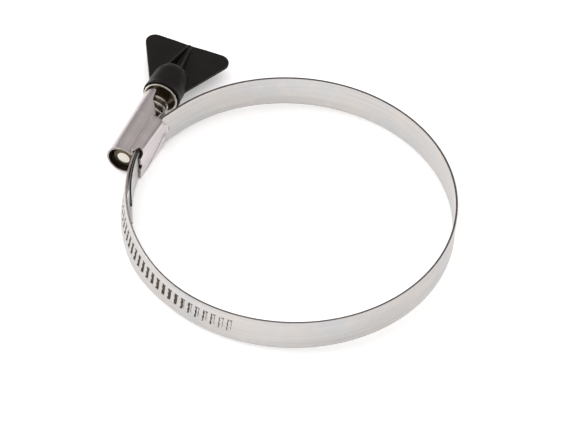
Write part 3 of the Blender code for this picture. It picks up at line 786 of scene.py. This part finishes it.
def section_lengths():
    """Lengths of the cross-section's parts on the blank, the arch foot's angle, and the fillet's centre."""
    fillet_x = FLANGE_X - FILLET_RADIUS
    reach = ARCH_RADIUS + FILLET_RADIUS
    fillet_z = math.sqrt(reach**2 - (fillet_x - SCREW_X) ** 2)
    foot = math.degrees(math.atan2(fillet_z, fillet_x - SCREW_X))
    lengths = [
        ARCH_RADIUS * math.radians(180.0 - foot),
        FILLET_RADIUS * math.radians(180.0 - foot),
        EDGE_Z - FOLD_RADIUS - fillet_z,
        FOLD_RADIUS * math.pi / 2,
        FOLD_FLAT,
        FLAP_FOLD_RADIUS * math.pi / 2,
        2 * EDGE_Z,
    ]
    return lengths, foot, fillet_x, fillet_z


LENGTHS, FOOT, FILLET_X, FILLET_Z = section_lengths()
BREAKS = [sum(LENGTHS[:i]) for i in range(len(LENGTHS) + 1)]


def flap_middle_x(y):
    """x of the flaps' middle: straight up to the base's end, then the tab follows the band."""
    if y > HOUSING_BASE_END_Y:
        return HOUSING_SHEET / 2 - math.sqrt((RING_RADIUS - HALF_SHEET - TAB_GAP) ** 2 - y**2)
    share = (y - HOUSING_START_Y) / (HOUSING_BASE_END_Y - HOUSING_START_Y)
    return FLAP_FACE_LOW + (FLAP_FACE_HIGH - FLAP_FACE_LOW) * share + HOUSING_SHEET / 2


def section_point(u, y):
    """The sheet's middle at a distance from the top of the arch: x, z and the direction out of the metal."""
    side = 1 if u >= 0 else -1
    u = abs(u)
    flap_x = flap_middle_x(y)
    radius = ARCH_RADIUS - ROOF_STEP * smooth(y, *ROOF_STEP_Y)
    radius += NOSE_FLARE * (1.0 - smooth(y, HOUSING_START_Y, HOUSING_START_Y + NOSE_FLARE_LENGTH))
    if u <= BREAKS[1]:
        out = direction(180.0 - math.degrees(u / ARCH_RADIUS))
        x, z = SCREW_X + radius * out.x, radius * out.y
    elif u <= BREAKS[2]:
        turn = direction(FOOT + 180.0 + math.degrees((u - BREAKS[1]) / FILLET_RADIUS))
        x, z, out = FILLET_X + FILLET_RADIUS * turn.x, FILLET_Z + FILLET_RADIUS * turn.y, -turn
    elif u <= BREAKS[3]:
        x, z, out = FLANGE_X, FILLET_Z + (u - BREAKS[2]), Vector((-1.0, 0.0))
    elif u <= BREAKS[4]:
        out = direction(180.0 - math.degrees((u - BREAKS[3]) / FOLD_RADIUS))
        x = FLANGE_X + FOLD_RADIUS * (1 + out.x)
        z = EDGE_Z - FOLD_RADIUS + FOLD_RADIUS * out.y
    elif u <= BREAKS[5]:
        low, high = FLANGE_X + FOLD_RADIUS, flap_x - FLAP_FOLD_RADIUS
        x, z, out = low + (high - low) * (u - BREAKS[4]) / LENGTHS[4], EDGE_Z, Vector((0.0, 1.0))
    elif u <= BREAKS[6]:
        out = direction(90.0 - math.degrees((u - BREAKS[5]) / FLAP_FOLD_RADIUS))
        x = flap_x - FLAP_FOLD_RADIUS + FLAP_FOLD_RADIUS * out.x
        z = EDGE_Z - FLAP_FOLD_RADIUS + FLAP_FOLD_RADIUS * out.y
    else:
        x, z, out = flap_x, EDGE_Z - FLAP_FOLD_RADIUS - (u - BREAKS[6]), Vector((1.0, 0.0))
    return x, side * z, out.x, side * out.y


def flap_u(z, side):
    """The blank's coordinate of a height on a flap."""
    return side * (BREAKS[6] + EDGE_Z - FLAP_FOLD_RADIUS - side * z)


def rounded(points, radius, steps=4):
    """The outline with its corners rounded: (x, y, radius) or (x, y) with the default radius."""
    result = []
    count = len(points)
    for i, point in enumerate(points):
        here = Vector(point[:2])
        size = point[2] if len(point) > 2 else radius
        before, after = Vector(points[i - 1][:2]), Vector(points[(i + 1) % count][:2])
        back, ahead = before - here, after - here
        size = min(size, 0.49 * back.length, 0.49 * ahead.length)
        if size < 1e-6:
            result.append(here)
            continue
        a, b = here + back.normalized() * size, here + ahead.normalized() * size
        for j in range(steps + 1):
            t = j / steps
            result.append((1 - t) ** 2 * a + 2 * t * (1 - t) * here + t * t * b)
    return result


def housing_blank():
    """The flat sheet's outline: u from the arch's top, + to the upper edge, and y along the screw."""
    low, high, roof = HOUSING_START_Y, HOUSING_BASE_END_Y, ROOF_END_Y
    gap = SEAM_HALF_GAP
    foot = BREAKS[1]

    def up(z):
        return flap_u(z * MM, 1)

    def down(z):
        return flap_u(z * MM, -1)

    return rounded([
        (flap_u(SEAM_NOSE_Z - gap, -1), low, 0.3 * MM),
        (0.0, low),
        # lower end of the wide flap: a relief in the fold and a small notch
        (BREAKS[4] + 0.6 * LENGTHS[4], low, 0.3 * MM),
        (BREAKS[5], low + 1.7 * MM, 0.6 * MM),
        (up(3.7), low + 1.7 * MM, 0.5 * MM),
        (up(3.1), low, 0.3 * MM),
        (up(0.4), low, 0.3 * MM),
        (up(0.1), low + 0.8 * MM, 0.3 * MM),
        (up(-1.3), low + 0.9 * MM, 0.4 * MM),
        (up(-1.6), low, 0.3 * MM),
        (flap_u(SEAM_NOSE_Z + gap, 1), low, 0.3 * MM),
        (flap_u(SEAM_LOW[1] + gap, 1), SEAM_LOW[0], 1.0 * MM),
        # its upper end is a rounded tab
        (flap_u(SEAM_HIGH[1] + gap, 1), SEAM_HIGH[0], 0.2 * MM),
        (up(-0.9), high + 1.0 * MM, 0.7 * MM),
        (up(0.6), high + 1.8 * MM, 1.0 * MM),
        (up(2.6), high + 1.2 * MM, 1.0 * MM),
        (up(4.6), high - 0.8 * MM, 1.2 * MM),
        (BREAKS[6] - 0.6 * MM, high - 1.2 * MM, 0.6 * MM),
        (BREAKS[4], high - 0.6 * MM, 0.4 * MM),
        (BREAKS[2] + 0.3 * MM, high + 1.6 * MM, 0.8 * MM),
        # the roof's upper side is cut away over the screw
        (foot * 0.97, 18.6 * MM, 1.5 * MM),
        (foot * 0.85, 20.9 * MM, 1.5 * MM),
        (foot * 0.71, 23.0 * MM, 1.5 * MM),
        (foot * 0.655, roof, 0.9 * MM),
        (-foot * 0.86, roof, 0.8 * MM),
        (-foot * 0.9, high + 1.6 * MM, 1.0 * MM),
        (-BREAKS[2], high, 0.6 * MM),
        # the narrow flap's upper corner is cut off
        (down(-5.4), high - 1.4 * MM, 0.6 * MM),
        (down(-3.6), high + 0.1 * MM, 0.8 * MM),
        (flap_u(SEAM_HIGH[1] - gap, -1), SEAM_HIGH[0], 0.3 * MM),
        (flap_u(SEAM_LOW[1] - gap, -1), SEAM_LOW[0], 1.0 * MM),
    ], 0.2 * MM)


# y of the cuts across the sheet, in mm: closer together at the nose's flare and at the roof's step
SHEET_ROWS = (
    -2.0, -1.7, -1.1, 1.0, 4.0, 8.0, 12.0, 15.0, 15.8, 16.3,
    16.5, 16.6, 16.8, 17.0, 17.2, 17.3, 17.5, 21.0, 24.0)


def bend_lines():
    """The u at which the flat sheet is cut so that it can bend: many in its round parts."""
    spans = [
        (0.0, BREAKS[1], 18),
        (BREAKS[1], BREAKS[2], 5),
        (BREAKS[3], BREAKS[4], 5),
        (BREAKS[5], BREAKS[6], 7),
    ]
    lines = [BREAKS[6] + 3.0 * MM]
    for start, end, count in spans:
        lines += [start + (end - start) * i / count for i in range(count + 1)]
    return sorted({round(side * u, 7) for u in lines for side in (-1, 1)})


def cut_sheet(bm, place, normal):
    """Cuts the faces of the flat sheet along a straight line."""
    geometry = list(bm.faces) + list(bm.edges)
    bmesh.ops.bisect_plane(bm, geom=geometry, plane_co=place, plane_no=normal, dist=1e-6)


def flat_sheet():
    """The blank as a flat sheet of faces that are narrow where it bends."""
    bm = bmesh.new()
    bm.faces.new([bm.verts.new((u, y, 0.0)) for u, y in housing_blank()])
    for u in bend_lines():
        cut_sheet(bm, (u, 0.0, 0.0), (1.0, 0.0, 0.0))
    for y in SHEET_ROWS:
        cut_sheet(bm, (0.0, y * MM, 0.0), (0.0, 1.0, 0.0))
    return new_mesh("housing_shell", bm)


def housing_slot(polygon):
    """The slot of a face of the flat sheet: painted shade inside and on the flaps' rims, painted shadow on
    the tab's end, the cut edges' tone on the other rims, and a lighter painted shade in the fillet.
    """
    u, y, _ = polygon.center
    up = polygon.normal.z  # 1 on the outer face, -1 on the inner face, about 0 on the rims
    slot = polygon.material_index
    # painted shadow on the wide flap's tab end, and on its rims along the seam
    on_wide_flap_rim = u > BREAKS[6] and (y > TAB_RIM_Y or 0.0 < y and up < 0.97)
    if up < -0.7 or on_wide_flap_rim:
        slot = PAINTED_SHADE
    elif up > 0.3:
        slot = PLAIN
    elif y < NOSE_RIM_Y:
        slot = EDGE
    # the flaps' other rims get painted shade
    elif abs(u) > BREAKS[6]:
        slot = PAINTED_SHADE
    # a lighter painted shade in the fillet
    in_fillet = BREAKS[1] - FILLET_MARGIN < u < BREAKS[2] + FILLET_MARGIN
    return VALLEY if slot == PLAIN and in_fillet else slot


def fold_sheet(mesh):
    """Bends the flat sheet to the housing's cross-section."""
    for vert in mesh.vertices:
        u, y, t = vert.co
        x, z, out_x, out_z = section_point(u, y)
        vert.co = (x + t * out_x, y, z + t * out_z)
    bm = bmesh.new()
    bm.from_mesh(mesh)
    bmesh.ops.recalc_face_normals(bm, faces=bm.faces)
    bm.to_mesh(mesh)
    bm.free()


def build_housing():
    """The housing, made as it is made in a press: a flat sheet is cut out and then bent."""
    piece = new_piece(
        "housing_shell", flat_sheet(), [HOUSING_STEEL, HOUSING_EDGE, HOUSING_PAINTED_SHADE, HOUSING_FILLET_PAINTED_SHADE])
    solidify = piece.modifiers.new("Sheet", "SOLIDIFY")
    solidify.thickness = HOUSING_SHEET
    solidify.offset = 0.0
    solidify.material_offset_rim = EDGE
    bevel = piece.modifiers.new("Edges", "BEVEL")
    bevel.width = SHEET_ROUNDING
    bevel.segments = 2
    bevel.limit_method = "ANGLE"
    bevel.angle_limit = math.radians(60)
    mesh = baked_mesh(piece)
    for polygon in mesh.polygons:
        polygon.material_index = housing_slot(polygon)
    fold_sheet(mesh)
    shade(piece, 40.0)
    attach(piece, "housing")
    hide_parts("housing")


# ---------------------------------------------------------------- screw


def thread_radius(y, turn):
    """Radius of the threaded surface: a rounded crest, sloping flanks and a hollow root."""
    from_crest = abs(((y - THREAD_START_Y) / PITCH - turn / (2 * math.pi) + 0.5) % 1.0 - 0.5) * PITCH
    height = 1.0 - smooth(from_crest, CREST_HALF_WIDTH, FLANK_END)
    run = smooth(y, *THREAD_RUN_IN) * (1.0 - smooth(y, *THREAD_RUN_OUT))
    crown = CROWN_HEIGHT * (1.0 - min(1.0, from_crest / CROWN_HALF_WIDTH) ** 2)
    return ROOT_RADIUS + (THREAD_RADIUS - CROWN_HEIGHT - ROOT_RADIUS) * height * run + crown * run


# (y, radius) in mm: the flat tip, and the neck, the dished collar and the stub that is inside the wing
TIP_PROFILE = [(-1.2, 0.0), (-1.19, 1.9), (-1.13, 2.15), (-1.0, 2.6), (-0.93, 3.1)]
HEAD_PROFILE = [
    (27.5, 3.1), (27.9, 2.7), (32.4, 2.7), (32.7, 2.85), (32.8, 3.3), (32.8, 3.9), (32.5, 4.45), (31.9, 4.8),
    (30.0, 5.2), (29.55, 5.25), (29.15, 5.35), (29.0, 5.6), (29.06, 5.9), (29.3, 6.02), (29.6, 5.98),
    (29.75, 5.7), (30.0, 5.58), (33.0, 5.58), (33.7, 4.9), (33.7, 0.0),
]


def screw_slot(place):
    """The slot of the face with its middle here: painted shade at the thread's root and in the collar's
    hollow.
    """
    radius = math.hypot(place.x - SCREW_X, place.z)
    thread_end = THREAD_SPAN[1]
    if TIP_FACE_END_Y < place.y < thread_end and radius < ROOT_RADIUS + 0.4 * (THREAD_RADIUS - ROOT_RADIUS):
        return THREAD_ROOT
    if thread_end < place.y < COLLAR_END_Y and radius < COLLAR_HOLLOW_RADIUS:
        return COLLAR_HOLLOW
    return PLAIN


def build_screw():
    """The worm screw from its tip to its head, with a real thread, as rings round its axis."""
    bm = bmesh.new()
    rings = turned_rings(bm, SCREW_X, TIP_PROFILE, MM)
    turns = [2 * math.pi * i / ROUND_STEPS for i in range(ROUND_STEPS)]
    y = THREAD_SPAN[0]
    while y < THREAD_SPAN[1]:
        rings.append(ring(bm, SCREW_X, y, [thread_radius(y, turn) for turn in turns]))
        y += THREAD_STEP
    rings += turned_rings(bm, SCREW_X, HEAD_PROFILE, MM)
    join_rings(bm, rings)
    bmesh.ops.recalc_face_normals(bm, faces=bm.faces)
    for face in bm.faces:
        face.material_index = screw_slot(face.calc_center_median())
    piece = new_piece("screw", new_mesh("screw", bm), [SCREW_STEEL, SCREW_PAINTED_SHADE, COLLAR_PAINTED_SHADE])
    shade(piece, 50.0)
    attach(piece, "worm")
    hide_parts("worm_screw")


# ---------------------------------------------------------------- wing


# All in mm, with x across the wing from the screw's axis. The plate's levels are (depth, scale).
PLATE_LEVELS = [(-0.95, 0.965), (-0.75, 0.99), (-0.35, 1.0), (0.35, 1.0), (0.75, 0.99), (0.95, 0.965)]
PLATE_MIDDLE_Y = 47.0
CORNER_CENTRE = (11.9, 53.2)
CORNER_RADIUS = 3.3
# A rib's cross-section in half widths and heights, and (x, y, width, height) at both ends of each rib
RIB_SECTION = [(-1.0, 0.0), (1.0, 0.0), (1.0, 0.6), (0.45, 1.0), (-0.45, 1.0), (-1.0, 0.6)]
RIB_FOOT = 0.2  # inside the plate
SIDE_RIB = [(2.5, 39.5, 1.6, 5.2), (0.55, 55.5, 1.0, 1.3)]
MIDDLE_RIB = [(0.0, 47.5, 1.2, 0.6), (0.0, 55.9, 1.6, 1.3)]
# (y, radius)
HUB_PROFILE = [
    (42.8, 0.0), (42.7, 2.2), (42.3, 3.8), (41.5, 5.0), (40.3, 5.8), (38.8, 6.2),
    (37.0, 6.35), (34.0, 6.4), (32.2, 6.4), (31.4, 6.5), (30.7, 6.62), (30.1, 6.62),
    (29.95, 6.5), (29.95, 6.2), (30.1, 6.12), (34.3, 6.0), (34.3, 0.0),
]


def wing_plate(bm):
    """The flat wing with a thin rounded rim: one outline at several depths, each with its scale."""
    right = [(5.2, 33.2), (6.4, 35.0)]  # the outline's right half, from the hub up
    for angle in range(-24, 91, 6):
        out = direction(angle)
        right.append((CORNER_CENTRE[0] + CORNER_RADIUS * out.x, CORNER_CENTRE[1] + CORNER_RADIUS * out.y))
    right += [(6.0, 56.45), (1.2, 56.2)]
    outline = right + [(-x, y) for x, y in right[::-1]]
    rings = []
    for depth, scale in PLATE_LEVELS:
        scaled = [(x * scale, PLATE_MIDDLE_Y + (y - PLATE_MIDDLE_Y) * scale) for x, y in outline]
        rings.append([bm.verts.new((x, y, depth)) for x, y in scaled])
    bm.faces.new(rings[0][::-1])
    bm.faces.new(rings[-1])
    join_rings(bm, rings)


def wing_rib(bm, side, mirror, rib):
    """A tapering rib on one face of the wing, from the hub to the top edge."""
    rings = []
    for x, y, width, height in rib:
        levels = [(across, side * (up * height if up else RIB_FOOT)) for across, up in RIB_SECTION]
        rings.append([bm.verts.new((mirror * x + across * width / 2, y, z)) for across, z in levels])
    bm.faces.new(rings[0])
    bm.faces.new(rings[1][::-1])
    join_rings(bm, rings)


def build_wing():
    """The wing handle as one moulding: plate, ribs and hub run into each other with soft edges."""
    bm = bmesh.new()
    wing_plate(bm)
    for side in (-1, 1):
        for mirror in (-1, 1):
            wing_rib(bm, side, mirror, SIDE_RIB)
        wing_rib(bm, side, 1, MIDDLE_RIB)
    join_rings(bm, turned_rings(bm, 0.0, HUB_PROFILE, 1.0))
    bmesh.ops.recalc_face_normals(bm, faces=bm.faces)
    piece = new_piece("wing", new_mesh("wing", bm), [WING_PLASTIC])
    remesh = piece.modifiers.new("Moulded", "REMESH")
    remesh.mode = "VOXEL"
    remesh.voxel_size = 0.2
    soften = piece.modifiers.new("Soften", "SMOOTH")
    soften.factor = 0.5
    soften.iterations = 4
    mesh = baked_mesh(piece)
    seat = Matrix.Translation((SCREW_X, WING_SEAT_Y, 0.0)) @ Matrix.Rotation(math.radians(WING_LEAN), 4, "Z")
    turned = Matrix.Rotation(math.radians(WING_TURN), 4, "Y") @ Matrix.Scale(MM, 4)
    mesh.transform(seat @ Matrix.Translation((0.0, -WING_SEAT_Y, 0.0)) @ turned)
    mesh.shade_smooth()
    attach(piece, "worm")
    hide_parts("wing_handle")


# ---------------------------------------------------------------- stage


def build_floor():
    """A wide, nearly white floor that shines a little itself, so that it stays even."""
    far = FLOOR_REACH
    corners = [(-far, -far, FLOOR_Z), (far, -far, FLOOR_Z), (far, far, FLOOR_Z), (-far, far, FLOOR_Z)]
    mesh = bpy.data.meshes.new("floor")
    mesh.from_pydata(corners, [], [(0, 1, 2, 3)])
    nodes = Nodes("floor", (0.93, 0.93, 0.93), 0.9, 0.0)
    nodes.shader.inputs["Specular IOR Level"].default_value = 0.0
    nodes.shader.inputs["Emission Color"].default_value = (1.0, 1.0, 1.0, 1.0)
    nodes.shader.inputs["Emission Strength"].default_value = 0.30
    new_piece("floor", mesh, [nodes.material])


def build_world():
    """Pale near the horizon, darker overhead, and darkest low down behind the object (+Y)."""
    world = bpy.data.worlds.new("studio")
    bpy.context.scene.world = world
    world.use_nodes = True
    tree = world.node_tree
    background = tree.nodes["Background"]
    where = tree.nodes.new("ShaderNodeTexCoord")
    split = tree.nodes.new("ShaderNodeSeparateXYZ")
    tree.links.new(where.outputs["Generated"], split.inputs["Vector"])
    overhead = (0.76, 0.725, 0.715)
    skies = []
    for low in ((0.95, 0.94, 0.94), (0.24, 0.23, 0.23)):
        ramp = tree.nodes.new("ShaderNodeValToRGB")
        tree.links.new(split.outputs["Z"], ramp.inputs["Fac"])
        elements = ramp.color_ramp.elements
        elements[0].position, elements[0].color = 0.15, (*low, 1.0)
        elements[1].position, elements[1].color = 0.62, (*overhead, 1.0)
        skies.append(ramp)
    behind = tree.nodes.new("ShaderNodeMapRange")
    behind.inputs["From Min"].default_value = 0.1
    behind.inputs["From Max"].default_value = 0.6
    tree.links.new(split.outputs["Y"], behind.inputs["Value"])
    mix = tree.nodes.new("ShaderNodeMix")
    mix.data_type = "RGBA"
    tree.links.new(behind.outputs["Result"], mix.inputs[0])
    tree.links.new(skies[0].outputs["Color"], mix.inputs[6])
    tree.links.new(skies[1].outputs["Color"], mix.inputs[7])
    tree.links.new(mix.outputs[2], background.inputs["Color"])
    background.inputs["Strength"].default_value = 0.8


def area_light(name, place, size, energy, glossy=True):
    """A white rectangular light that faces the middle of the ring."""
    light = bpy.data.lights.new(name, "AREA")
    light.shape = "RECTANGLE"
    light.size, light.size_y = size
    light.energy = energy
    lamp = bpy.data.objects.new(name, light)
    bpy.context.scene.collection.objects.link(lamp)
    lamp.location = place
    lamp.rotation_euler = (-Vector(place)).to_track_quat("-Z", "Y").to_euler()
    lamp.visible_glossy = glossy


def build_camera():
    """A camera that looks down on the ring, with a slight roll."""
    camera = bpy.data.cameras.new("camera")
    camera.lens = 143.84
    camera.sensor_width = 36.0
    camera.shift_x = -0.0060
    camera.shift_y = -0.0197
    holder = bpy.data.objects.new("camera", camera)
    bpy.context.scene.collection.objects.link(holder)
    place = Vector((0.2227, -0.6394, 0.7359)) * 0.740
    look = (-place).to_track_quat("-Z", "Y").to_matrix().to_4x4()
    holder.matrix_world = Matrix.Translation(place) @ look @ Matrix.Rotation(math.radians(2.864), 4, "Z")
    bpy.context.scene.camera = holder


build_camera()
build_floor()
build_world()
area_light("overhead", (0.15, 0.1, 1.3), (1.6, 1.6), 9.0, glossy=False)
area_light("left", (-0.9, -0.2, 0.55), (0.5, 0.7), 4.0)
bpy.context.scene.view_settings.view_transform = "Standard"

build_band()
build_tongue()
build_housing()
build_screw()
build_wing()
